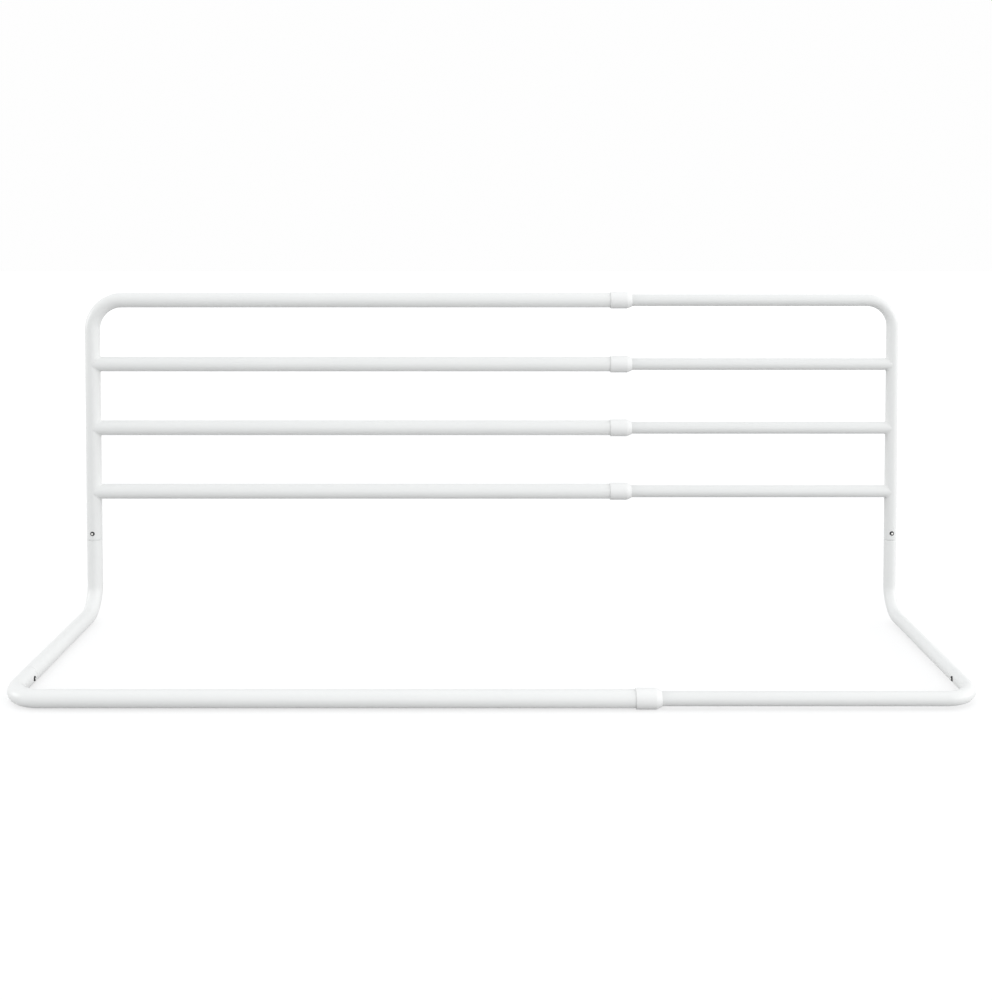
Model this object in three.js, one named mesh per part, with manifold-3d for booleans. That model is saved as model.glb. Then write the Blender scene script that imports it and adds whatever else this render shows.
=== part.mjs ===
// Extendable bed guard rail in white tubular steel. A thick left half and a thin right half telescope along the
// guard and along the base's front bar; two bent legs plug in between them and lock with snap buttons.
// Millimetres. +X along the guard, +Y from the bed side to the guard, +Z up. The origin is on the ground, under
// the middle of the guard's length and of the base's depth.
import * as THREE from "three";
import { mergeVertices, toCreasedNormals } from "three/addons/utils/BufferGeometryUtils.js";
import Module from "manifold-3d";

const wasm = await Module();
wasm.setup();

// The whole guard, fully drawn out
const overallLength = 1370; // outside to outside of the uprights
const overallHeight = 554; // underside of the base collar to the top of the top rail's collar
const baseDepth = 380; // axis of the guard to axis of the base's front bar
const railCount = 4;
const railPitch = 108; // axis to axis

// The tubes: the inner ones slide in the outer ones
const tubeWall = 1;
const outerRadius = 12.5;
const slideGap = 1.5; // between an inner tube and the bore that it slides in
const innerRadius = outerRadius - tubeWall - slideGap;

// Bends, as radii of the tube's centre line
const outerGuardBend = 50;
const innerGuardBend = 44;
const legBend = 43;
const baseBend = 45;

// Every piece stands off what it seats on by this much
const fit = 0.3;
// Cutting tools reach past what they cut by this much
const overrun = 2;

// Plastic collar, pressed on the end of each outer tube, with a lip that the inner tube slides through
const collar = {
  wall: 1.4,
  length: 36,
  barrel: 26, // the straight part; the rest is the rounded nose
  seat: 22, // how deep the outer tube goes in
  noseWall: 0.6,
  edge: 0.6, // chamfer of the rim
  noseSteps: 5,
};
const collarRadius = outerRadius + fit + collar.wall;
const collarStart = 200; // rim of every collar, right of the middle

// Plastic guide bush, on the hidden end of each inner tube
const bush = { length: 80, lip: 1.6, chamfer: 0.4 };

// Snap joints: a leg's narrow spigot goes into the next tube and its button comes out through that tube's wall
const legSeam = 120; // base axis to the seam below the uprights
const spigot = {
  length: 34,
  clear: 5, // from its tip to the bend of the tube that it goes into
  root: 14,
  setback: 1,
  chamfer: 1.2,
};
const button = {
  radius: 3.3,
  rise: 12, // from the seam to the button's axis
  proud: 1.6,
  rim: 0.4, // straight part that shows below the dome
  flange: 1.2, // how far the flange is wider than the stem
  flangeThickness: 1,
  domeSteps: 4,
};
const buttonHole = 3.8; // radius, in the outside tube
const spring = {
  thickness: 0.7,
  width: 7,
  tip: 7, // leaf past the button's axis
  pad: 5, // flat of the leaf before the button's axis
  bend: 26, // button's axis to the centre of the bend
  bendRadius: 3,
  bendSteps: 4,
};

// Weld bead round the coped end of a rail
const beadRadius = 1.5;
const beadSides = 6;

// Facets
const tubeSides = 20;
const bendSteps = 7;
const buttonSides = 14;
const creaseAngle = 0.6;

// Places worked out from the sizes
const leftX = -overallLength / 2 + outerRadius;
const rightX = overallLength / 2 - innerRadius;
const guardY = baseDepth / 2;
const barY = -baseDepth / 2;
const baseZ = collarRadius;
const topZ = overallHeight - collarRadius;
const legSeamZ = baseZ + legSeam;
const armSeamY = barY + baseBend + spigot.clear + spigot.length;

const at = (x, y, z) => new THREE.Vector3(x, y, z);
const guard = new THREE.Group();

// Finishes
const whitePowderCoat = () => new THREE.MeshStandardMaterial({ color: 0xf0f1ef, roughness: 0.38, metalness: 0.05 });
const whitePlastic = () => new THREE.MeshStandardMaterial({ color: 0xf5f5f3, roughness: 0.45, metalness: 0 });
const nylon = () => new THREE.MeshStandardMaterial({ color: 0xdedcd2, roughness: 0.6, metalness: 0 });
const blackSteel = () => new THREE.MeshStandardMaterial({ color: 0x2b2b2d, roughness: 0.35, metalness: 1 });
const springSteel = () => new THREE.MeshStandardMaterial({ color: 0x8b8d90, roughness: 0.4, metalness: 1 });

// A closed geometry as a solid that can be joined and cut.
function toSolid(geometry) {
  const bare = geometry.clone();
  bare.deleteAttribute("normal");
  bare.deleteAttribute("uv");
  const merged = mergeVertices(bare);
  return new wasm.Manifold(
    new wasm.Mesh({
      numProp: 3,
      vertProperties: merged.getAttribute("position").array,
      triVerts: new Uint32Array(merged.index.array),
    }),
  );
}

function toGeometry(solid) {
  const { vertProperties, triVerts } = solid.getMesh();
  const geometry = new THREE.BufferGeometry();
  geometry.setAttribute("position", new THREE.BufferAttribute(vertProperties, 3));
  geometry.setIndex(new THREE.BufferAttribute(triVerts, 1));
  return geometry;
}

// Names a piece and hangs it in its group.
function addPiece(name, geometry, finish, parent = guard) {
  const bare = geometry.clone();
  bare.deleteAttribute("normal");
  bare.deleteAttribute("uv");
  const piece = new THREE.Mesh(toCreasedNormals(bare, creaseAngle), finish);
  piece.name = name;
  parent.add(piece);
  return piece;
}

// Round sections are polygons whose flats lie at the true radius and face the axes.
const cornerFactor = (sides) => 1 / Math.cos(Math.PI / sides);

function roundOutline(radius) {
  return Array.from({ length: tubeSides }, (_, k) => {
    const angle = ((k + 0.5) * 2 * Math.PI) / tubeSides;
    return new THREE.Vector2(Math.cos(angle), Math.sin(angle)).multiplyScalar(radius * cornerFactor(tubeSides));
  });
}

// A piece turned about +Y from [radius, height] points, which run up its outside.
function turned(profile, sides = tubeSides) {
  const points = profile.map(([radius, height]) => new THREE.Vector2(radius * cornerFactor(sides), height));
  return new THREE.LatheGeometry(points, sides, Math.PI / sides);
}

// A ring's profile comes back to its first point.
const turnedRing = (profile) => turned([...profile, profile[0]]);

// A tube's centre line as stations, each a point and the direction there. The tube gets one ring of corners at
// each station, so a straight run needs none between its ends.
class StationLine extends THREE.Curve {
  constructor(stations) {
    super();
    this.stations = stations;
    this.steps = stations.length - 1;
  }
  station(t) {
    return this.stations[Math.round(t * this.steps)];
  }
  getPoint(t) {
    return this.station(t).point.clone();
  }
  getTangentAt(t) {
    return this.station(t).direction.clone();
  }
  getSpacedPoints() {
    return this.stations.map(({ point }) => point.clone());
  }
}

function straightLine(start, end) {
  const direction = end.clone().sub(start).normalize();
  return new StationLine([start, end].map((point) => ({ point, direction })));
}

// Two straight runs at right angles, joined by a round bend.
function bentLine(start, corner, end, bendRadius) {
  const inward = corner.clone().sub(start).normalize();
  const onward = end.clone().sub(corner).normalize();
  const centre = corner.clone().addScaledVector(inward, -bendRadius).addScaledVector(onward, bendRadius);
  const stations = [{ point: start, direction: inward }];
  for (let k = 0; k <= bendSteps; k++) {
    const angle = (k / bendSteps) * (Math.PI / 2);
    const point = centre.clone();
    point.addScaledVector(onward, -bendRadius * Math.cos(angle));
    point.addScaledVector(inward, bendRadius * Math.sin(angle));
    const direction = inward.clone().multiplyScalar(Math.cos(angle)).addScaledVector(onward, Math.sin(angle));
    stations.push({ point, direction });
  }
  stations.push({ point: end, direction: onward });
  return new StationLine(stations);
}

const swept = (shape, line) => new THREE.ExtrudeGeometry(shape, { steps: line.steps, extrudePath: line });

function rod(line, radius) {
  return toSolid(swept(new THREE.Shape(roundOutline(radius)), line));
}

function tube(line, radius) {
  const section = new THREE.Shape(roundOutline(radius));
  section.holes.push(new THREE.Path(roundOutline(radius - tubeWall)));
  return toSolid(swept(section, line));
}

// A snap joint's own frame: its origin on the tube's axis at the button, +Y the way the button comes out and +Z
// from the leg into the tube that takes the spigot.
function snapFrame(origin, outward, along) {
  const across = outward.clone().cross(along);
  return new THREE.Matrix4().makeBasis(across, outward, along).setPosition(origin);
}

// The round hole for the button, through one wall of a tube.
function holeCutter(radius, frame) {
  const reach = outerRadius + overrun;
  const cutter = new THREE.CylinderGeometry(radius, radius, reach, tubeSides);
  cutter.translate(0, reach / 2, 0).applyMatrix4(frame);
  return toSolid(cutter);
}

const spigotRadius = (radius) => radius - tubeWall - fit;
const spigotBore = (radius) => spigotRadius(radius) - tubeWall;

// The leg's narrow end. Its root sits in the leg's wall, and its button hole is cut through.
function spigotSolid(radius, frame) {
  const shoulder = -button.rise - fit;
  const tip = spigot.length - button.rise;
  const rootRadius = radius - tubeWall / 2;
  const profile = [
    [spigotBore(radius), shoulder - spigot.root],
    [rootRadius, shoulder - spigot.root],
    [rootRadius, shoulder - spigot.setback],
    [spigotRadius(radius), shoulder - spigot.setback],
    [spigotRadius(radius), tip - spigot.chamfer],
    [spigotRadius(radius) - tubeWall / 2, tip],
    [spigotBore(radius), tip],
  ];
  const geometry = turnedRing(profile).rotateX(Math.PI / 2).applyMatrix4(frame);
  return toSolid(geometry).subtract(holeCutter(button.radius + fit, frame));
}

// How far out the flange's outer face can be: it sits against the round bore of the spigot.
function flangeFace(radius) {
  return Math.sqrt(spigotBore(radius) ** 2 - (button.radius + button.flange) ** 2) - fit;
}

function snapButton(radius) {
  const face = flangeFace(radius);
  const back = face - button.flangeThickness;
  const profile = [
    [0, back],
    [button.radius + button.flange, back],
    [button.radius + button.flange, face],
    [button.radius, face],
  ];
  for (let k = 0; k <= button.domeSteps; k++) {
    const angle = (k / button.domeSteps) * (Math.PI / 2);
    const height = button.rim + (button.proud - button.rim) * Math.sin(angle);
    profile.push([k < button.domeSteps ? button.radius * Math.cos(angle) : 0, radius + height]);
  }
  return turned(profile, buttonSides);
}

// A strip of even thickness along a line of points.
function stripShape(line, thickness) {
  const offset = (side) =>
    line.map((point, k) => {
      const before = line[Math.max(k - 1, 0)];
      const after = line[Math.min(k + 1, line.length - 1)];
      const along = after.clone().sub(before).normalize();
      return point.clone().add(new THREE.Vector2(-along.y, along.x).multiplyScalar((side * thickness) / 2));
    });
  return new THREE.Shape([...offset(1), ...offset(-1).reverse()]);
}

// The V-shaped leaf: one leg behind the button's flange, the other on the far wall of the spigot.
function leafSpring(radius) {
  const half = spring.thickness / 2;
  const front = flangeFace(radius) - button.flangeThickness - fit - half;
  const back = Math.sqrt(spigotBore(radius) ** 2 - (spring.width / 2) ** 2) - fit - half;
  const line = [new THREE.Vector2(front, spring.tip), new THREE.Vector2(front, -spring.pad)];
  for (let k = 0; k <= spring.bendSteps; k++) {
    const angle = (k / spring.bendSteps) * Math.PI;
    const point = new THREE.Vector2(Math.cos(angle), -Math.sin(angle)).multiplyScalar(spring.bendRadius);
    line.push(point.add(new THREE.Vector2(0, -spring.bend)));
  }
  line.push(new THREE.Vector2(-back, -spring.pad), new THREE.Vector2(-back, spring.tip));
  const leaf = new THREE.ExtrudeGeometry(stripShape(line, spring.thickness), {
    depth: spring.width,
    bevelEnabled: false,
  });
  leaf.translate(0, 0, -spring.width / 2);
  return leaf.applyMatrix4(new THREE.Matrix4().makeBasis(at(0, 1, 0), at(0, 0, 1), at(1, 0, 0)));
}

// A weld bead round a rail's coped end: a ring that dips along the upright's round side.
function weldBead(radius, x, z, side) {
  const ring = new THREE.TorusGeometry(radius, beadRadius, beadSides, tubeSides).rotateY(Math.PI / 2);
  const corners = ring.getAttribute("position");
  for (let k = 0; k < corners.count; k++) {
    const saddle = Math.sqrt(Math.max((radius + fit) ** 2 - corners.getY(k) ** 2, 0));
    corners.setX(k, corners.getX(k) + side * saddle);
  }
  return toSolid(ring.translate(x, guardY, z));
}

// A rail of the same tube as its upright, coped to it and welded all round.
function weldedRail(radius, uprightX, endX, z) {
  const side = Math.sign(endX - uprightX);
  const start = at(uprightX, guardY, z);
  const end = at(endX, guardY, z);
  const past = at(side * overrun, 0, 0);
  const body = rod(straightLine(start, end), radius);
  const bore = rod(straightLine(start.clone().sub(past), end.clone().add(past)), radius - tubeWall);
  const reach = at(0, 0, radius + beadRadius + overrun);
  const upright = rod(straightLine(start.clone().sub(reach), start.clone().add(reach)), radius + fit);
  return body.add(weldBead(radius, uprightX, z, side)).subtract(bore).subtract(upright);
}

// Turned about +Y and then laid along +X, from its rim at the origin.
function collarGeometry() {
  const noseRadius = innerRadius + fit + collar.noseWall;
  const profile = [
    [outerRadius + fit, 0],
    [collarRadius - collar.edge, 0],
    [collarRadius, collar.edge],
  ];
  for (let k = 0; k <= collar.noseSteps; k++) {
    const angle = (k / collar.noseSteps) * (Math.PI / 2);
    const radius = noseRadius + (collarRadius - noseRadius) * Math.cos(angle);
    profile.push([radius, collar.barrel + (collar.length - collar.barrel) * Math.sin(angle)]);
  }
  profile.push(
    [innerRadius + fit, collar.length],
    [innerRadius + fit, collar.seat],
    [outerRadius + fit, collar.seat],
  );
  return turnedRing(profile).rotateZ(-Math.PI / 2);
}

function bushGeometry() {
  const radius = outerRadius - tubeWall - fit;
  const profile = [
    [innerRadius - tubeWall, 0],
    [radius - bush.chamfer, 0],
    [radius, bush.chamfer],
    [radius, bush.length],
    [innerRadius + fit, bush.length],
    [innerRadius + fit, bush.lip],
    [innerRadius - tubeWall, bush.lip],
  ];
  return turnedRing(profile).rotateZ(-Math.PI / 2);
}

// The outer tubes seat on their collars' lips, and the drawn-out bushes end level with them.
const outerEnd = collarStart + collar.seat - fit;
const bushStart = outerEnd - bush.length;
const innerEnd = bushStart + bush.lip + fit;

// One side of the guard: its upright and top rail in one tube, the welded rails, the leg and the base tube.
function buildSide({ name, half, radius, x, guardBend, end, inward }) {
  const uprightSnap = snapFrame(at(x, guardY, legSeamZ + button.rise), at(0, -1, 0), at(0, 0, 1));
  const armSnap = snapFrame(at(x, armSeamY - button.rise, baseZ), at(inward, 0, 0), at(0, -1, 0));

  const guardLine = bentLine(at(x, guardY, legSeamZ), at(x, guardY, topZ), at(end, guardY, topZ), guardBend);
  const guardTube = tube(guardLine, radius).subtract(holeCutter(buttonHole, uprightSnap));
  addPiece(`${name}_guard_tube`, toGeometry(guardTube), whitePowderCoat());

  for (let k = 1; k < railCount; k++) {
    const rail = weldedRail(radius, x, end, topZ - k * railPitch);
    addPiece(`${half}_rail_${k + 1}`, toGeometry(rail), whitePowderCoat());
  }

  const legTop = at(x, guardY, legSeamZ - fit);
  const legFront = at(x, armSeamY + fit, baseZ);
  const legTube = tube(bentLine(legTop, at(x, guardY, baseZ), legFront, legBend), radius)
    .add(spigotSolid(radius, uprightSnap))
    .add(spigotSolid(radius, armSnap));
  addPiece(`${name}_leg_tube`, toGeometry(legTube), whitePowderCoat());

  const baseLine = bentLine(at(x, armSeamY, baseZ), at(x, barY, baseZ), at(end, barY, baseZ), baseBend);
  const baseTube = tube(baseLine, radius).subtract(holeCutter(buttonHole, armSnap));
  addPiece(`${half}_base_tube`, toGeometry(baseTube), whitePowderCoat());

  for (const [place, frame] of [
    ["upright", uprightSnap],
    ["arm", armSnap],
  ]) {
    const snap = new THREE.Group();
    snap.applyMatrix4(frame);
    guard.add(snap);
    addPiece(`${name}_${place}_button`, snapButton(radius), blackSteel(), snap);
    addPiece(`${name}_${place}_spring`, leafSpring(radius), springSteel(), snap);
  }
}

buildSide({
  name: "left",
  half: "outer",
  radius: outerRadius,
  x: leftX,
  guardBend: outerGuardBend,
  end: outerEnd,
  inward: 1,
});
buildSide({
  name: "right",
  half: "inner",
  radius: innerRadius,
  x: rightX,
  guardBend: innerGuardBend,
  end: innerEnd,
  inward: -1,
});

// A collar and a bush on each telescoping rail, from the top down, and on the base's front bar.
const telescopes = Array.from({ length: railCount }, (_, k) => ({
  collarName: `guard_collar_${k + 1}`,
  bushName: `guide_bush_${k + 1}`,
  y: guardY,
  z: topZ - k * railPitch,
}));
telescopes.push({
  collarName: "base_collar",
  bushName: "base_guide_bush",
  y: barY,
  z: baseZ,
});
for (const { collarName, bushName, y, z } of telescopes) {
  addPiece(collarName, collarGeometry(), whitePlastic()).position.set(collarStart, y, z);
  addPiece(bushName, bushGeometry(), nylon()).position.set(bushStart, y, z);
}

export default guard;
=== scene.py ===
import math

import bmesh
import bpy
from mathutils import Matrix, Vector


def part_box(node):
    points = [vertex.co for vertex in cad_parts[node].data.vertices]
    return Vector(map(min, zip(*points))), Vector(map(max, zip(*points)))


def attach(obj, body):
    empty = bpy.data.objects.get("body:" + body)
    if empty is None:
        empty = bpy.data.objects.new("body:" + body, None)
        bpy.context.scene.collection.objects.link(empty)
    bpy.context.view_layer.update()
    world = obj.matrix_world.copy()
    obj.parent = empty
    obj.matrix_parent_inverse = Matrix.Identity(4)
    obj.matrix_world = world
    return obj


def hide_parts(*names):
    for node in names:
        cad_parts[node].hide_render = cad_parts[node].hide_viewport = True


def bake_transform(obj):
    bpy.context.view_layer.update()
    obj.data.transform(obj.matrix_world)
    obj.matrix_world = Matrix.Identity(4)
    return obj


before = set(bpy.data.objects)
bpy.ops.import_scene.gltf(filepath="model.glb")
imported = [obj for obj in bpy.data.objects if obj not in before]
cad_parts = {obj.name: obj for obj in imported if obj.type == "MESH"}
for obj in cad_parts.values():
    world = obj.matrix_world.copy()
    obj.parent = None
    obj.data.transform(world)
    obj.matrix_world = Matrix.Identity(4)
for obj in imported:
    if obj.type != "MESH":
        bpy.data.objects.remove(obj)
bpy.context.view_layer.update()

# -------------------------------------------------------------------------------------------------
# Sizes, in metres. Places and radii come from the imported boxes; what they don't tell is here.

WALL = 0.001
FIT = 0.0003  # gap round whatever plugs into a tube or slides in a lip
OUT_OF_BUTTON_WAY = 0.008  # from a button hole's middle to the next rings of the tube's mesh

GUARD_BEND = {"left": 0.050, "right": 0.044}
LEG_BEND = 0.043
BASE_BEND = 0.045

RIM_ROUNDING = 0.00025
RIM_EDGE_MOST = 0.002  # longer edges in a rim's plane aren't part of the rim
IN_RIM_PLANE = 0.00002

SPIGOT_LENGTH = 0.034
SPIGOT_LEAD = 0.0012
SHOULDER_HEIGHT = 0.0016
SHOULDER_STEPS = 6

STEM_RADIUS = 0.0033
FLANGE_RADIUS = 0.0045
FLANGE_THICKNESS = 0.001
BUTTON_EDGE = 0.0002
BUTTON_CROWN = 0.0012
BUTTON_CROWN_STEPS = 14
HOLE_RADIUS = 0.0038
SPIGOT_HOLE_RADIUS = STEM_RADIUS + FIT
HOLE_RISE = 0.012  # from the seam to the middle of a button hole
DRILL_REACH = 0.03

STRIP = 0.0007  # thickness of the leaf springs' steel
STRIP_ROUNDING = 0.0001
STRIP_CORNER = 50  # degrees from which a corner of the strip is rounded
SPRING_BEND = 0.003
SPRING_BEND_STEPS = 16
SPRING_PAD = 0.005  # flat length of a leaf beyond the button's axis

WELDED_RAILS = (2, 3, 4)  # the first rail is the top of the bent guard tube
COPE_GAP = 0.0001
COPE_REACH = 6  # length of the coping cutter, in radii of the tube
BEAD_RADIUS = 0.0012
BEAD_POINTS = 120
BEAD_RIPPLES = 26
BEAD_RIPPLE = 0.05
BEAD_THIN = 0.66  # share of the weld's thickness where the two tubes run together
BEAD_SINK = 0.0008  # how far the thin part of the weld lies inside the rail's wall
BEAD_CORNER_POWER = 1.5

CAP_SEAT = 0.022  # how far the thick tube reaches into its collar
CAP_CHAMFER = 0.0004
CAP_EDGE = 0.0007
CAP_EDGE_STEPS = 4
NOSE_START = 0.028
NOSE_ROUNDING = 0.005
NOSE_STEPS = 7
MOUTH_WALL = 0.0006
MOUTH_EDGE = 0.0004

TUBE_SIDES = 64
BEND_STEPS = 24
HOLE_SIDES = 48
COPE_SIDES = 128
COLLAR_SIDES = 96
BUTTON_SIDES = 64
WELD_WIRE_STEPS = 3
ROUNDING_STEPS = 2
MERGE_WITHIN = 0.00001
SMOOTH_TO = 32  # degrees up to which an edge is shaded round
SMOOTH_TO_ON_STEEL = 40

X = Vector((1, 0, 0))
Y = Vector((0, 1, 0))
Z = Vector((0, 0, 1))


# -------------------------------------------------------------------------------------------------
# Bench tools: what every piece is made with

def put_all_down():
    if bpy.context.mode != "OBJECT":
        bpy.ops.object.mode_set(mode="OBJECT")
    bpy.ops.object.select_all(action="DESELECT")


def pick_up(piece):
    put_all_down()
    piece.select_set(True)
    bpy.context.view_layer.objects.active = piece


def on_bench(piece):
    pick_up(piece)
    bpy.ops.object.mode_set(mode="EDIT")


def facing(direction):
    return Z.rotation_difference(direction).to_euler()


def start_ring(name, radius, centre, direction, sides=TUBE_SIDES, filled=False):
    """A ring of edges square to a direction, all selected in edit mode, ready to be drawn out."""
    put_all_down()
    bpy.ops.mesh.primitive_circle_add(
        vertices=sides,
        radius=radius,
        location=centre,
        rotation=facing(direction),
        fill_type="NGON" if filled else "NOTHING",
    )
    ring = bpy.context.object
    ring.name = name
    ring.data.name = name
    bpy.ops.object.transform_apply(location=True, rotation=True, scale=True)
    bpy.ops.object.mode_set(mode="EDIT")
    bpy.ops.mesh.select_all(action="SELECT")
    return ring


def draw_out(step):
    bpy.ops.mesh.extrude_region_move(TRANSFORM_OT_translate={"value": step})


def swell(ratio, centre):
    bpy.ops.transform.resize(value=(ratio, ratio, ratio), center_override=centre)


def draw_through(stops):
    """Draws the ring that stands at the first (place, radius) stop on through all the others."""
    for (at, old), (spot, radius) in zip(stops, stops[1:]):
        draw_out(spot - at)
        if radius != old:
            swell(radius / old, spot)


def sweep_round(centre, axis):
    """Spins the ring through a quarter turn."""
    bpy.ops.mesh.spin(steps=BEND_STEPS, angle=-math.pi / 2, center=centre, axis=axis)


def lay_line(name, points, closed=False, gauge=0.0):
    """A round wire through (place, share of the gauge) points. With no gauge it is a bare line."""
    curve = bpy.data.curves.new(name, "CURVE")
    curve.dimensions = "3D"
    curve.bevel_depth = gauge
    curve.bevel_resolution = WELD_WIRE_STEPS
    line = curve.splines.new("POLY")
    line.points.add(len(points) - 1)
    line.use_cyclic_u = closed
    for point, (place, share) in zip(line.points, points):
        point.co = (*place, 1)
        point.radius = share
    wire = bpy.data.objects.new(name, curve)
    bpy.context.scene.collection.objects.link(wire)
    pick_up(wire)
    bpy.ops.object.convert(target="MESH")
    return bpy.context.object


def apply_modifier(piece, kind, **settings):
    pick_up(piece)
    modifier = piece.modifiers.new(kind.lower(), kind)
    for name, value in settings.items():
        setattr(modifier, name, value)
    bpy.ops.object.modifier_apply(modifier=modifier.name)


def face_outwards(piece):
    on_bench(piece)
    bpy.ops.mesh.select_all(action="SELECT")
    bpy.ops.mesh.remove_doubles(threshold=MERGE_WITHIN)
    bpy.ops.mesh.normals_make_consistent(inside=False)
    put_all_down()


def give_wall(piece):
    face_outwards(piece)
    apply_modifier(piece, "SOLIDIFY", thickness=WALL, offset=-1, use_even_offset=True)


def join_by(operation, piece, other):
    """Cuts another piece away or melts it in, and puts it out of the scene."""
    apply_modifier(piece, "BOOLEAN", operation=operation, solver="EXACT", object=other)
    bpy.data.objects.remove(other)


def drill(piece, radius, centre, outward):
    """A round hole from the tube's axis out through one wall."""
    put_all_down()
    bpy.ops.mesh.primitive_cylinder_add(
        vertices=HOLE_SIDES,
        radius=radius,
        depth=DRILL_REACH,
        location=centre + outward * DRILL_REACH / 2,
        rotation=facing(outward),
    )
    join_by("DIFFERENCE", piece, bpy.context.object)


def break_edges(piece, chosen, width):
    """Rounds the edges that a test picks by their two ends."""
    on_bench(piece)
    bpy.ops.mesh.select_mode(type="EDGE")
    bpy.ops.mesh.select_all(action="DESELECT")
    mesh = bmesh.from_edit_mesh(piece.data)
    for edge in mesh.edges:
        if chosen(*(vertex.co for vertex in edge.verts)):
            edge.select_set(True)
    mesh.select_flush_mode()
    bmesh.update_edit_mesh(piece.data)
    bpy.ops.mesh.bevel(
        offset=width, segments=ROUNDING_STEPS, affect="EDGES", clamp_overlap=True
    )
    put_all_down()


def coat_piece(piece, material, smooth):
    pick_up(piece)
    bpy.ops.object.shade_smooth_by_angle(angle=math.radians(smooth))
    piece.data.materials.clear()
    piece.data.materials.append(material)
    put_all_down()


def finish_piece(piece, body, node, material, smooth=SMOOTH_TO):
    """Gives a piece its finish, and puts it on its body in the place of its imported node."""
    coat_piece(piece, material, smooth)
    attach(piece, body)
    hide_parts(node)


# -------------------------------------------------------------------------------------------------
# Finishes. Reliefs are heights in metres.

COAT_RELIEF = 0.00003
PLASTIC_RELIEF = 0.000015
NYLON_RELIEF = 0.00002
BUTTON_RELIEF = 0.00001
SPRING_RELIEF = 0.00001

LINE_CONTRAST = 8.0
LINE_DEPTH = 0.25  # share of the coat's relief
LINE_SHINE = 0.06  # how much less rough the lines are

# The buttons' crowns are painted bright steel: wear from thumbs, and a painted highlight on the
# dome's top.
WORN_AND_HIGHLIT_STEEL = (0.78, 0.78, 0.76, 1)
RUBBED_AND_HIGHLIT = (0.40, 0.62)  # shares of the stem's radius from bright to black
TURNED_RINGS = 26.0


def new_group(name, inputs, outputs):
    """A node group whose sockets are (label, kind) pairs, with its input and output nodes."""
    group = bpy.data.node_groups.new(name, "ShaderNodeTree")
    for way, sockets in (("INPUT", inputs), ("OUTPUT", outputs)):
        for label, kind in sockets:
            group.interface.new_socket(name=label, in_out=way, socket_type=f"NodeSocket{kind}")
    return group, group.nodes.new("NodeGroupInput"), group.nodes.new("NodeGroupOutput")


def noise_node(tree, scale, detail, roughness=0.5):
    noise = tree.nodes.new("ShaderNodeTexNoise")
    noise.inputs["Detail"].default_value = detail
    noise.inputs["Roughness"].default_value = roughness
    tree.links.new(scale, noise.inputs["Scale"])
    return noise


def math_node(tree, operation, a, b, c=None):
    node = tree.nodes.new("ShaderNodeMath")
    node.operation = operation
    for k, value in enumerate((a, b, c)):
        if value is None:
            continue
        if isinstance(value, (int, float)):
            node.inputs[k].default_value = value
        else:
            tree.links.new(value, node.inputs[k])
    return node.outputs[0]


def mix_colors(tree, factor, low, high):
    """A mix of two colours, each of them plain or a socket."""
    mix = tree.nodes.new("ShaderNodeMix")
    mix.data_type = "RGBA"
    tree.links.new(factor, mix.inputs["Factor"])
    for label, value in (("A", low), ("B", high)):
        socket = next(s for s in mix.inputs if s.name == label and s.type == "RGBA")
        if isinstance(value, tuple):
            socket.default_value = value
        else:
            tree.links.new(value, socket)
    return next(s for s in mix.outputs if s.type == "RGBA")


def map_range(tree, value, start, end, low, high, kind="LINEAR"):
    """Low up to the start, high from the end on, and in between from one to the other."""
    node = tree.nodes.new("ShaderNodeMapRange")
    node.interpolation_type = kind
    tree.links.new(value, node.inputs["Value"])
    bounds = (("From Min", start), ("From Max", end), ("To Min", low), ("To Max", high))
    for label, bound in bounds:
        node.inputs[label].default_value = bound
    return node.outputs[0]


def make_fine_skin():
    """The fine unevenness of a coat or a moulding: small orange peel on long soft waves."""
    group, into, out = new_group(
        "fine_skin",
        [
            ("Vector", "Vector"),
            ("Peel Scale", "Float"),
            ("Wave Scale", "Float"),
            ("Wave Share", "Float"),
        ],
        [("Height", "Float")],
    )
    peel = noise_node(group, into.outputs["Peel Scale"], detail=2.0)
    wave = noise_node(group, into.outputs["Wave Scale"], detail=1.0)
    for noise in (peel, wave):
        group.links.new(into.outputs["Vector"], noise.inputs["Vector"])
    waves = math_node(group, "MULTIPLY", wave.outputs[0], into.outputs["Wave Share"])
    height = math_node(group, "ADD", peel.outputs[0], waves)
    group.links.new(height, out.inputs["Height"])
    return group


def make_uneven_tone():
    """A colour and a roughness that drift a little over the surface."""
    group, into, out = new_group(
        "uneven_tone",
        [
            ("Vector", "Vector"),
            ("Light Color", "Color"),
            ("Deep Color", "Color"),
            ("Scale", "Float"),
            ("Roughness", "Float"),
            ("Roughness Drift", "Float"),
        ],
        [("Color", "Color"), ("Roughness", "Float")],
    )
    noise = noise_node(group, into.outputs["Scale"], detail=3.0, roughness=0.55)
    group.links.new(into.outputs["Vector"], noise.inputs["Vector"])
    color = mix_colors(
        group, noise.outputs[0], into.outputs["Light Color"], into.outputs["Deep Color"]
    )
    group.links.new(color, out.inputs["Color"])
    centred = math_node(group, "SUBTRACT", noise.outputs[0], 0.5)
    rough = math_node(
        group, "MULTIPLY_ADD", centred, into.outputs["Roughness Drift"], into.outputs["Roughness"]
    )
    group.links.new(rough, out.inputs["Roughness"])
    return group


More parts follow.
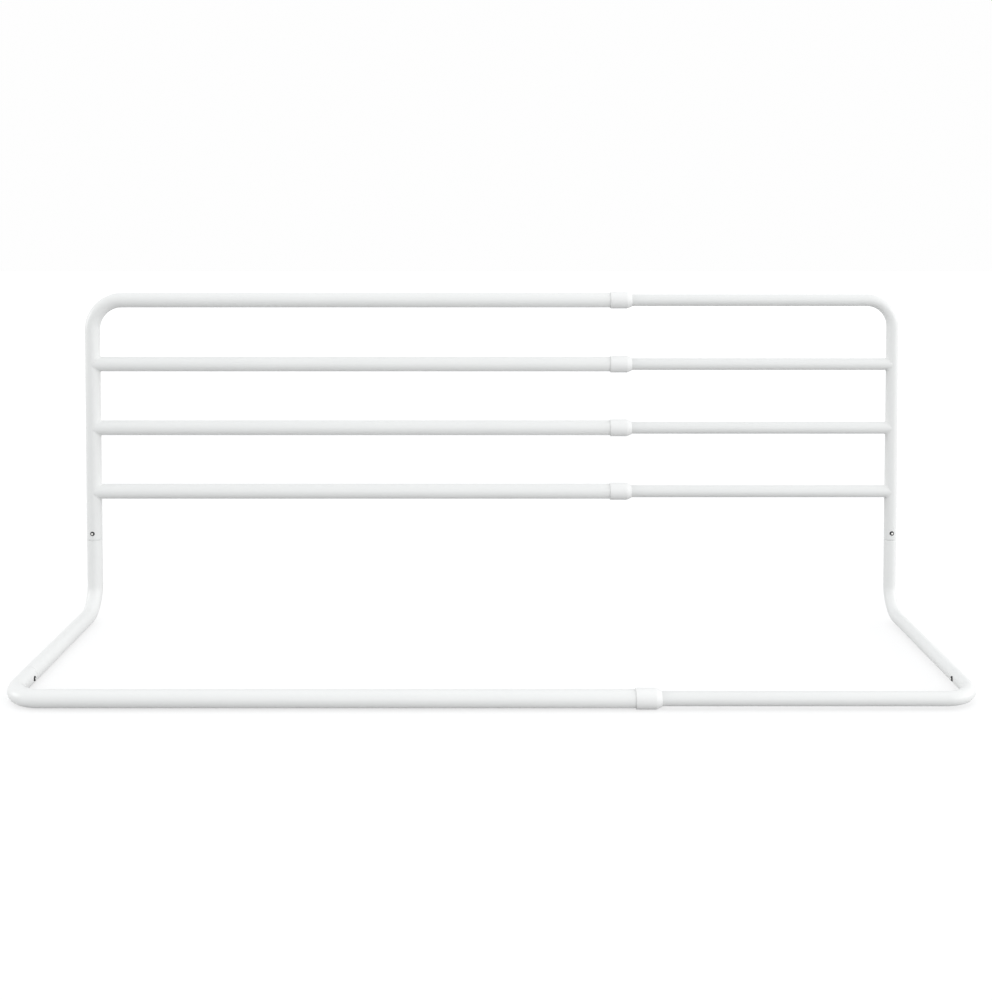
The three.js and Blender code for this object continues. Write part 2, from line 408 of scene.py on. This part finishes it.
def make_drawn_lines():
    """Long faint lines along X, from sliding, as a mask."""
    group, into, out = new_group(
        "drawn_lines",
        [
            ("Vector", "Vector"),
            ("Fineness", "Float"),
            ("Stretch", "Float"),
            ("Cover", "Float"),
        ],
        [("Mask", "Float")],
    )
    parts = group.nodes.new("ShaderNodeSeparateXYZ")
    group.links.new(into.outputs["Vector"], parts.inputs[0])
    along = math_node(group, "MULTIPLY", parts.outputs["X"], into.outputs["Stretch"])
    packed = group.nodes.new("ShaderNodeCombineXYZ")
    group.links.new(along, packed.inputs["X"])
    group.links.new(parts.outputs["Y"], packed.inputs["Y"])
    group.links.new(parts.outputs["Z"], packed.inputs["Z"])
    lines = noise_node(group, into.outputs["Fineness"], detail=2.0)
    group.links.new(packed.outputs[0], lines.inputs["Vector"])
    above = math_node(group, "SUBTRACT", lines.outputs[0], into.outputs["Cover"])
    mask = group.nodes.new("ShaderNodeClamp")
    group.links.new(math_node(group, "MULTIPLY", above, LINE_CONTRAST), mask.inputs["Value"])
    group.links.new(mask.outputs[0], out.inputs["Mask"])
    return group


FINE_SKIN = make_fine_skin()
UNEVEN_TONE = make_uneven_tone()
DRAWN_LINES = make_drawn_lines()


class Finish:
    """A material under way: its shader, its coordinates and the groups put into it."""

    def __init__(self, name, **constants):
        self.material = bpy.data.materials.new(name)
        self.material.use_nodes = True
        self.tree = self.material.node_tree
        self.shader = self.tree.nodes["Principled BSDF"]
        for label, value in constants.items():
            self.shader.inputs[label.replace("_", " ")].default_value = value
        self.place = self.tree.nodes.new("ShaderNodeTexCoord").outputs["Object"]

    def group(self, tree, **values):
        node = self.tree.nodes.new("ShaderNodeGroup")
        node.node_tree = tree
        self.tree.links.new(self.place, node.inputs["Vector"])
        for label, value in values.items():
            node.inputs[label.replace("_", " ")].default_value = value
        return node

    def feed(self, source, label):
        self.tree.links.new(source, self.shader.inputs[label])

    def raise_by(self, height, distance):
        bump = self.tree.nodes.new("ShaderNodeBump")
        bump.inputs["Distance"].default_value = distance
        bump.inputs["Strength"].default_value = 1.0
        self.tree.links.new(height, bump.inputs["Height"])
        self.feed(bump.outputs["Normal"], "Normal")

    def dress(self, color, rough, height, distance):
        self.feed(color, "Base Color")
        self.feed(rough, "Roughness")
        self.raise_by(height, distance)
        return self.material


def make_powder_coat(name, slides=False):
    """White powder coat on steel. A tube that slides has faint lines along its length."""
    finish = Finish(name, Specular_IOR_Level=0.4)
    tone = finish.group(
        UNEVEN_TONE,
        Light_Color=(0.870, 0.872, 0.861, 1),
        Deep_Color=(0.847, 0.852, 0.841, 1),
        Scale=9.0,
        Roughness=0.36,
        Roughness_Drift=0.08,
    )
    skin = finish.group(FINE_SKIN, Peel_Scale=620.0, Wave_Scale=70.0, Wave_Share=0.5)
    height, rough = skin.outputs["Height"], tone.outputs["Roughness"]
    if slides:
        lines = finish.group(DRAWN_LINES, Fineness=700.0, Stretch=0.006, Cover=0.6).outputs["Mask"]
        height = math_node(finish.tree, "MULTIPLY_ADD", lines, -LINE_DEPTH, height)
        rough = math_node(finish.tree, "MULTIPLY_ADD", lines, -LINE_SHINE, rough)
    return finish.dress(tone.outputs["Color"], rough, height, COAT_RELIEF)


def make_white_plastic():
    finish = Finish("moulded_plastic", Specular_IOR_Level=0.5)
    tone = finish.group(
        UNEVEN_TONE,
        Light_Color=(0.915, 0.915, 0.905, 1),
        Deep_Color=(0.893, 0.893, 0.883, 1),
        Scale=30.0,
        Roughness=0.6,
        Roughness_Drift=0.06,
    )
    skin = finish.group(FINE_SKIN, Peel_Scale=2600.0, Wave_Scale=160.0, Wave_Share=1.2)
    return finish.dress(
        tone.outputs["Color"], tone.outputs["Roughness"], skin.outputs["Height"], PLASTIC_RELIEF
    )


def make_nylon():
    finish = Finish("natural_nylon", Specular_IOR_Level=0.5, Subsurface_Weight=0.05)
    tone = finish.group(
        UNEVEN_TONE,
        Light_Color=(0.74, 0.72, 0.65, 1),
        Deep_Color=(0.69, 0.67, 0.59, 1),
        Scale=45.0,
        Roughness=0.58,
        Roughness_Drift=0.08,
    )
    skin = finish.group(FINE_SKIN, Peel_Scale=1900.0, Wave_Scale=140.0, Wave_Share=0.8)
    return finish.dress(
        tone.outputs["Color"], tone.outputs["Roughness"], skin.outputs["Height"], NYLON_RELIEF
    )


def make_button_steel():
    """Blackened steel, turned in fine rings, with the crown painted bright steel: rubbed bright by
    thumbs, and a painted highlight on the dome's top.
    """
    finish = Finish("blackened_steel", Metallic=1.0)
    from_axis = finish.tree.nodes.new("ShaderNodeAttribute")
    from_axis.attribute_name = "from_axis"
    share = from_axis.outputs["Fac"]
    # Bright steel near the axis, black further out: wear and a painted highlight on the crown.
    worn_and_highlit = map_range(finish.tree, share, *RUBBED_AND_HIGHLIT, 1.0, 0.0)
    tone = finish.group(
        UNEVEN_TONE,
        Light_Color=(0.030, 0.030, 0.032, 1),
        Deep_Color=(0.018, 0.018, 0.019, 1),
        Scale=420.0,
        Roughness=0.42,
        Roughness_Drift=0.2,
    )
    rings = finish.tree.nodes.new("ShaderNodeTexNoise")
    rings.noise_dimensions = "1D"
    rings.inputs["Scale"].default_value = TURNED_RINGS
    finish.tree.links.new(share, rings.inputs["W"])
    color = mix_colors(finish.tree, worn_and_highlit, tone.outputs["Color"], WORN_AND_HIGHLIT_STEEL)
    return finish.dress(color, tone.outputs["Roughness"], rings.outputs[0], BUTTON_RELIEF)


def make_spring_steel():
    finish = Finish("spring_steel", Metallic=1.0)
    tone = finish.group(
        UNEVEN_TONE,
        Light_Color=(0.36, 0.37, 0.39, 1),
        Deep_Color=(0.24, 0.24, 0.27, 1),
        Scale=160.0,
        Roughness=0.36,
        Roughness_Drift=0.16,
    )
    skin = finish.group(FINE_SKIN, Peel_Scale=2400.0, Wave_Scale=300.0, Wave_Share=0.4)
    return finish.dress(
        tone.outputs["Color"], tone.outputs["Roughness"], skin.outputs["Height"], SPRING_RELIEF
    )


POWDER_COAT = make_powder_coat("powder_coat")
SLIDING_COAT = make_powder_coat("powder_coat_sliding", slides=True)
WHITE_PLASTIC = make_white_plastic()
NYLON = make_nylon()
BUTTON_STEEL = make_button_steel()
SPRING_STEEL = make_spring_steel()


# -------------------------------------------------------------------------------------------------
# Places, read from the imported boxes

def box_middle(node):
    low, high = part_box(node)
    return (low + high) / 2


class Side:
    """Where the tubes of one half of the guard run."""

    def __init__(self, name, half, body):
        self.name, self.half, self.body = name, half, body
        self.inward = 1 if name == "left" else -1
        leg_low, leg_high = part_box(f"{name}_leg_tube")
        guard_low, guard_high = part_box(f"{name}_guard_tube")
        base_low, base_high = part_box(f"{half}_base_tube")
        self.radius = (leg_high.x - leg_low.x) / 2
        self.x = (leg_high.x + leg_low.x) / 2
        self.guard_y = (guard_high.y + guard_low.y) / 2
        self.seam_z = guard_low.z
        self.top_z = guard_high.z - self.radius
        self.guard_end = guard_high.x if self.inward > 0 else guard_low.x
        self.base_z = (base_high.z + base_low.z) / 2
        self.bar_y = base_low.y + self.radius
        self.seam_y = base_high.y
        self.base_end = base_high.x if self.inward > 0 else base_low.x
        self.spigot_radius = self.radius - WALL - FIT
        self.upright_hole = Vector((self.x, self.guard_y, self.seam_z + HOLE_RISE))
        self.arm_hole = Vector((self.x, self.seam_y - HOLE_RISE, self.base_z))
        self.arm_outward = X * self.inward
        self.coat = POWDER_COAT if half == "outer" else SLIDING_COAT


LEFT = Side("left", "outer", "thick_half")
RIGHT = Side("right", "inner", "thin_half")


# -------------------------------------------------------------------------------------------------
# Tubes

def round_rims(piece, ends):
    """Breaks both edges of the rims that lie in the given planes, each a point and a direction."""
    def in_plane(spot, point, along):
        return abs((spot - point).dot(along)) < IN_RIM_PLANE

    def on_rim(a, b):
        return (a - b).length < RIM_EDGE_MOST and any(
            in_plane(a, *end) and in_plane(b, *end) for end in ends
        )

    break_edges(piece, on_rim, RIM_ROUNDING)


def make_bent_tube(name, radius, start, corner, end, bend, hole, outward):
    """A tube with one bend and a button hole near its start."""
    onward = (corner - start).normalized()
    after = (end - corner).normalized()
    bend_start = corner - onward * bend
    bend_end = corner + after * bend
    piece = start_ring(name, radius, start, onward)
    at = start
    for stop in (hole - onward * OUT_OF_BUTTON_WAY, hole + onward * OUT_OF_BUTTON_WAY, bend_start):
        stop = start + onward * (stop - start).dot(onward)
        draw_out(stop - at)
        at = stop
    sweep_round(bend_start + after * bend, onward.cross(after))
    draw_out(end - bend_end)
    give_wall(piece)
    drill(piece, HOLE_RADIUS, hole, outward)
    round_rims(piece, [(start, onward), (end, after)])
    return piece


def make_guard_tube(side):
    piece = make_bent_tube(
        f"{side.name}_upright_and_top_rail",
        side.radius,
        Vector((side.x, side.guard_y, side.seam_z)),
        Vector((side.x, side.guard_y, side.top_z)),
        Vector((side.guard_end, side.guard_y, side.top_z)),
        GUARD_BEND[side.name],
        side.upright_hole,
        -Y,
    )
    finish_piece(piece, side.body, f"{side.name}_guard_tube", side.coat)


def make_base_tube(side):
    piece = make_bent_tube(
        f"{side.name}_base_bar",
        side.radius,
        Vector((side.x, side.seam_y, side.base_z)),
        Vector((side.x, side.bar_y, side.base_z)),
        Vector((side.base_end, side.bar_y, side.base_z)),
        BASE_BEND,
        side.arm_hole,
        side.arm_outward,
    )
    finish_piece(piece, side.body, f"{side.half}_base_tube", side.coat)


def spigot_rings(side):
    """Height above the seam and radius of each ring, from the spigot's tip over the shoulder."""
    rings = [
        (SPIGOT_LENGTH, side.spigot_radius - SPIGOT_LEAD / 2),
        (SPIGOT_LENGTH - SPIGOT_LEAD / 2, side.spigot_radius - SPIGOT_LEAD / 6),
        (SPIGOT_LENGTH - SPIGOT_LEAD, side.spigot_radius),
        (HOLE_RISE + OUT_OF_BUTTON_WAY, side.spigot_radius),
        (HOLE_RISE - OUT_OF_BUTTON_WAY, side.spigot_radius),
    ]
    step = side.radius - side.spigot_radius
    for k in range(SHOULDER_STEPS + 1):
        angle = k / SHOULDER_STEPS * math.pi / 2
        drop = SHOULDER_HEIGHT * (1 - math.cos(angle))
        rings.append((-FIT - drop, side.spigot_radius + step * math.sin(angle)))
    return rings


def make_leg(side):
    """A swaged tube: a spigot up into the upright, the bend, and a spigot into the base's arm."""
    down, forward = -Z, -Y
    top = Vector((side.x, side.guard_y, side.seam_z))
    corner = Vector((side.x, side.guard_y, side.base_z))
    front = Vector((side.x, side.seam_y, side.base_z))
    rings = spigot_rings(side)
    from_upright = [(top - down * height, radius) for height, radius in rings]
    into_arm = [(front + forward * height, radius) for height, radius in reversed(rings)]
    tip, tip_radius = from_upright[0]
    piece = start_ring(f"{side.name}_leg", tip_radius, tip, down)
    draw_through(from_upright)
    bend_start = corner - down * LEG_BEND
    draw_out(bend_start - from_upright[-1][0])
    sweep_round(bend_start + forward * LEG_BEND, down.cross(forward))
    bend_end = corner + forward * LEG_BEND
    draw_through([(bend_end, side.radius)] + into_arm)
    give_wall(piece)
    drill(piece, SPIGOT_HOLE_RADIUS, side.upright_hole, -Y)
    drill(piece, SPIGOT_HOLE_RADIUS, side.arm_hole, side.arm_outward)
    finish_piece(piece, side.body, f"{side.name}_leg_tube", POWDER_COAT)


def make_bead(side, z):
    """A weld round the rail's foot: full above and below, thin where the tubes run together."""
    points = []
    for k in range(BEAD_POINTS):
        angle = 2 * math.pi * k / BEAD_POINTS
        corner = abs(math.sin(angle)) ** BEAD_CORNER_POWER
        radius = side.radius - BEAD_SINK * (1 - corner)
        y = radius * math.cos(angle)
        reach = math.sqrt(max((side.radius + COPE_GAP) ** 2 - y ** 2, 0))
        x = side.x + side.inward * reach
        spot = Vector((x, side.guard_y + y, z + radius * math.sin(angle)))
        share = BEAD_THIN + (1 - BEAD_THIN) * corner + BEAD_RIPPLE * math.sin(BEAD_RIPPLES * angle)
        points.append((spot, share))
    bead = lay_line("weld", points, closed=True, gauge=BEAD_RADIUS)
    face_outwards(bead)
    return bead


def make_rail(side, number):
    node = f"{side.half}_rail_{number}"
    low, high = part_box(node)
    z = (low.z + high.z) / 2
    end = high.x if side.inward > 0 else low.x
    start = Vector((side.x, side.guard_y, z))
    along = X * side.inward
    piece = start_ring(f"{side.name}_rail_{number}", side.radius, start, along)
    draw_out(along * abs(end - side.x))
    give_wall(piece)
    round_rims(piece, [(Vector((end, side.guard_y, z)), along)])
    put_all_down()
    bpy.ops.mesh.primitive_cylinder_add(
        vertices=COPE_SIDES,
        radius=side.radius + COPE_GAP,
        depth=COPE_REACH * side.radius,
        location=start,
    )
    join_by("DIFFERENCE", piece, bpy.context.object)
    join_by("UNION", piece, make_bead(side, z))
    finish_piece(piece, side.body, node, side.coat)


# -------------------------------------------------------------------------------------------------
# Collars

def turn_on_lathe(name, rings, origin, along, sides, closed):
    """Draws a ring out through (distance, radius) pairs, and back to the first if closed."""
    stops = [(origin + along * distance, radius) for distance, radius in rings]
    first, first_radius = stops[0]
    piece = start_ring(name, first_radius, first, along, sides, filled=not closed)
    draw_through(stops + stops[:1] if closed else stops)
    return piece


def make_collar(node):
    """A moulded cap: a barrel over the thick tube, a cone for a nose, a lip for the thin tube."""
    low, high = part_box(node)
    length = high.x - low.x
    outside = (high.y - low.y) / 2
    bore = LEFT.radius + FIT
    lip = RIGHT.radius + FIT
    mouth = lip + MOUTH_WALL
    rings = [(CAP_CHAMFER, bore), (0.0, bore + CAP_CHAMFER)]
    for k in range(CAP_EDGE_STEPS + 1):
        angle = k / CAP_EDGE_STEPS * math.pi / 2
        depth = CAP_EDGE * (1 - math.cos(angle))
        rings.append((depth, outside - CAP_EDGE * (1 - math.sin(angle))))
    slope = math.atan2(outside - mouth, length - NOSE_START)
    shoulder = NOSE_START - NOSE_ROUNDING * math.tan(slope / 2)
    for k in range(NOSE_STEPS + 1):
        angle = k / NOSE_STEPS * slope
        drop = NOSE_ROUNDING * (1 - math.cos(angle))
        rings.append((shoulder + NOSE_ROUNDING * math.sin(angle), outside - drop))
    rim = mouth + MOUTH_EDGE * ((1 - math.sin(slope)) * math.tan(slope) - math.cos(slope))
    for k in range(CAP_EDGE_STEPS + 1):
        angle = slope + k / CAP_EDGE_STEPS * (math.pi / 2 - slope)
        depth = MOUTH_EDGE * (1 - math.sin(angle))
        rings.append((length - depth, rim + MOUTH_EDGE * math.cos(angle)))
    rings += [(length - CAP_CHAMFER, lip), (CAP_SEAT, lip), (CAP_SEAT, bore)]
    middle = box_middle(node)
    origin = Vector((low.x, middle.y, middle.z))
    piece = turn_on_lathe(f"{node}_cap", rings, origin, X, COLLAR_SIDES, closed=True)
    face_outwards(piece)
    finish_piece(piece, "thick_half", node, WHITE_PLASTIC)


# -------------------------------------------------------------------------------------------------
# Snap buttons and their leaf springs

def make_button(side, place, axis_point, outward):
    """A flanged pin with a domed crown. Its from_axis is 0 on the axis and 1 on the stem."""
    node = f"{side.name}_{place}_button"
    low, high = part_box(node)
    reach = [(corner - axis_point).dot(outward) for corner in (low, high)]
    back, crown = min(reach), max(reach)
    front = back + FLANGE_THICKNESS
    rings = [
        (back, FLANGE_RADIUS - BUTTON_EDGE),
        (back + BUTTON_EDGE, FLANGE_RADIUS),
        (front - BUTTON_EDGE, FLANGE_RADIUS),
        (front, FLANGE_RADIUS - BUTTON_EDGE),
        (front, STEM_RADIUS + BUTTON_EDGE),
        (front + BUTTON_EDGE, STEM_RADIUS),
    ]
    for k in range(BUTTON_CROWN_STEPS):
        angle = k / BUTTON_CROWN_STEPS * math.pi / 2
        rings.append((crown - BUTTON_CROWN * (1 - math.sin(angle)), STEM_RADIUS * math.cos(angle)))
    piece = turn_on_lathe(f"{node}_pin", rings, axis_point, outward, BUTTON_SIDES, closed=False)
    draw_out(outward * (crown - rings[-1][0]))
    bpy.ops.mesh.merge(type="CENTER")
    face_outwards(piece)
    share = piece.data.attributes.new("from_axis", "FLOAT", "POINT")
    for vertex in piece.data.vertices:
        spot = vertex.co - axis_point
        share.data[vertex.index].value = (spot - outward * spot.dot(outward)).length / STEM_RADIUS
    finish_piece(piece, node, node, BUTTON_STEEL, smooth=SMOOTH_TO_ON_STEEL)


def make_spring(side, place, axis_point, outward, onward):
    """A V of strip steel: one leaf behind the button's flange, one on the spigot's far wall."""
    node = f"{side.name}_{place}_spring"
    low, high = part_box(node)
    across = outward.cross(onward)
    reach = sorted((corner - axis_point).dot(outward) for corner in (low, high))
    span = sorted((corner - axis_point).dot(onward) for corner in (low, high))
    width = abs((high - low).dot(across))
    front, back = reach[1] - STRIP / 2, -reach[0] - STRIP / 2
    bend_middle = span[0] + STRIP / 2 + SPRING_BEND
    path = [(front, span[1]), (front, -SPRING_PAD)]
    for k in range(SPRING_BEND_STEPS + 1):
        angle = k / SPRING_BEND_STEPS * math.pi
        path.append((SPRING_BEND * math.cos(angle), bend_middle - SPRING_BEND * math.sin(angle)))
    path += [(-back, -SPRING_PAD), (-back, span[1])]
    edge = axis_point - across * width / 2
    strip = lay_line(f"{node}_leaf", [(edge + outward * out + onward * up, 1) for out, up in path])
    on_bench(strip)
    bpy.ops.mesh.select_all(action="SELECT")
    draw_out(across * width)
    face_outwards(strip)
    apply_modifier(strip, "SOLIDIFY", thickness=STRIP, offset=0, use_even_offset=True)
    apply_modifier(
        strip,
        "BEVEL",
        width=STRIP_ROUNDING,
        segments=ROUNDING_STEPS,
        limit_method="ANGLE",
        angle_limit=math.radians(STRIP_CORNER),
    )
    coat_piece(strip, SPRING_STEEL, smooth=SMOOTH_TO_ON_STEEL)
    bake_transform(strip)
    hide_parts(node)


# -------------------------------------------------------------------------------------------------
# The guard

COLLARS = ("guard_collar_1", "guard_collar_2", "guard_collar_3", "guard_collar_4", "base_collar")
BUSHES = ("guide_bush_1", "guide_bush_2", "guide_bush_3", "guide_bush_4", "base_guide_bush")

for side in (LEFT, RIGHT):
    make_guard_tube(side)
    for number in WELDED_RAILS:
        make_rail(side, number)
    make_leg(side)
    make_base_tube(side)
    for place, spot, outward, onward in (
        ("upright", side.upright_hole, -Y, Z),
        ("arm", side.arm_hole, side.arm_outward, -Y),
    ):
        make_button(side, place, spot, outward)
        make_spring(side, place, spot, outward, onward)

for node in COLLARS:
    make_collar(node)

for node in BUSHES:
    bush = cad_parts[node]
    bush.data.materials.clear()
    bush.data.materials.append(NYLON)


# -------------------------------------------------------------------------------------------------
# Studio

SKY_COLOR = (0.97, 0.985, 1.0, 1)
SKY_STRENGTH = 0.9
BACKGROUND_COLOR = (0.99, 0.99, 0.99, 1)

FLOOR_SIZE = 24
FLOOR_PAINT = (0.38, 0.38, 0.38, 1)
GLOW_REACH = (1.2, 5.0)  # metres from the middle between which the glow grows
GLOW_STRENGTH = (0.66, 0.86)

LAMP_SIZE = 3.8
LAMP_AIM = Vector((0.0, 0.0, 0.25))
LAMPS = (
    ("side_right", (10.0, -0.4, 2.2), 180),
    ("front_right", (8.0, -6.0, 2.2), 200),
    ("side_left", (-10.0, -0.4, 2.2), 245),
    ("front", (1.0, -10.0, 2.4), 90),
)

SENSOR_WIDTH = 36
LENS = 43.8
LENS_SHIFT = (0.0034, -0.2462)
CAMERA_PLACE = (0.0016, -1.8539, 0.6892)
CAMERA_DIP = 2  # degrees


def seen_or_mirrored(tree):
    """1 for rays from the camera and mirrored or clear ones, which show the plain background."""
    path = tree.nodes.new("ShaderNodeLightPath")
    seen = math_node(tree, "MAXIMUM", path.outputs["Is Camera Ray"], path.outputs["Is Glossy Ray"])
    return math_node(tree, "MAXIMUM", seen, path.outputs["Is Transmission Ray"])


def make_sky():
    world = bpy.context.scene.world or bpy.data.worlds.new("studio")
    bpy.context.scene.world = world
    world.use_nodes = True
    tree = world.node_tree
    tree.nodes.clear()
    soft = tree.nodes.new("ShaderNodeBackground")
    soft.inputs["Color"].default_value = SKY_COLOR
    soft.inputs["Strength"].default_value = SKY_STRENGTH
    plain = tree.nodes.new("ShaderNodeBackground")
    plain.inputs["Color"].default_value = BACKGROUND_COLOR
    plain.inputs["Strength"].default_value = 1.0
    mix = tree.nodes.new("ShaderNodeMixShader")
    tree.links.new(seen_or_mirrored(tree), mix.inputs["Fac"])
    tree.links.new(soft.outputs[0], mix.inputs[1])
    tree.links.new(plain.outputs[0], mix.inputs[2])
    out = tree.nodes.new("ShaderNodeOutputWorld")
    tree.links.new(mix.outputs[0], out.inputs["Surface"])


def make_floor():
    """A grey floor that keeps the shadow, and glows for the camera up to the background."""
    put_all_down()
    bpy.ops.mesh.primitive_plane_add(size=FLOOR_SIZE, location=(0, 0, 0))
    floor = bpy.context.object
    floor.name = "studio_floor"
    material = bpy.data.materials.new("studio_floor")
    material.use_nodes = True
    tree = material.node_tree
    tree.nodes.clear()
    paint = tree.nodes.new("ShaderNodeBsdfDiffuse")
    paint.inputs["Color"].default_value = FLOOR_PAINT
    glow = tree.nodes.new("ShaderNodeEmission")
    glow.inputs["Color"].default_value = (1, 1, 1, 1)
    place = tree.nodes.new("ShaderNodeTexCoord")
    distance = tree.nodes.new("ShaderNodeVectorMath")
    distance.operation = "LENGTH"
    tree.links.new(place.outputs["Object"], distance.inputs[0])
    away = map_range(
        tree, distance.outputs["Value"], *GLOW_REACH, *GLOW_STRENGTH, kind="SMOOTHSTEP"
    )
    lift = math_node(tree, "MULTIPLY", seen_or_mirrored(tree), away)
    tree.links.new(lift, glow.inputs["Strength"])
    both = tree.nodes.new("ShaderNodeAddShader")
    tree.links.new(paint.outputs[0], both.inputs[0])
    tree.links.new(glow.outputs[0], both.inputs[1])
    out = tree.nodes.new("ShaderNodeOutputMaterial")
    tree.links.new(both.outputs[0], out.inputs["Surface"])
    floor.data.materials.append(material)


def hang_lamp(name, place, power):
    light = bpy.data.lights.new(name, "AREA")
    light.shape = "SQUARE"
    light.size = LAMP_SIZE
    light.energy = power
    lamp = bpy.data.objects.new(name, light)
    bpy.context.scene.collection.objects.link(lamp)
    lamp.location = place
    lamp.rotation_euler = (LAMP_AIM - Vector(place)).to_track_quat("-Z", "Y").to_euler()
    lamp.visible_camera = False


def set_camera():
    data = bpy.data.cameras.new("camera")
    data.sensor_width = SENSOR_WIDTH
    data.lens = LENS
    data.shift_x, data.shift_y = LENS_SHIFT
    camera = bpy.data.objects.new("camera", data)
    bpy.context.scene.collection.objects.link(camera)
    camera.location = CAMERA_PLACE
    camera.rotation_euler = (math.radians(90 - CAMERA_DIP), 0, 0)
    bpy.context.scene.camera = camera


make_sky()
make_floor()
for name, place, power in LAMPS:
    hang_lamp(name, place, power)
set_camera()
bpy.context.scene.view_settings.view_transform = "Standard"
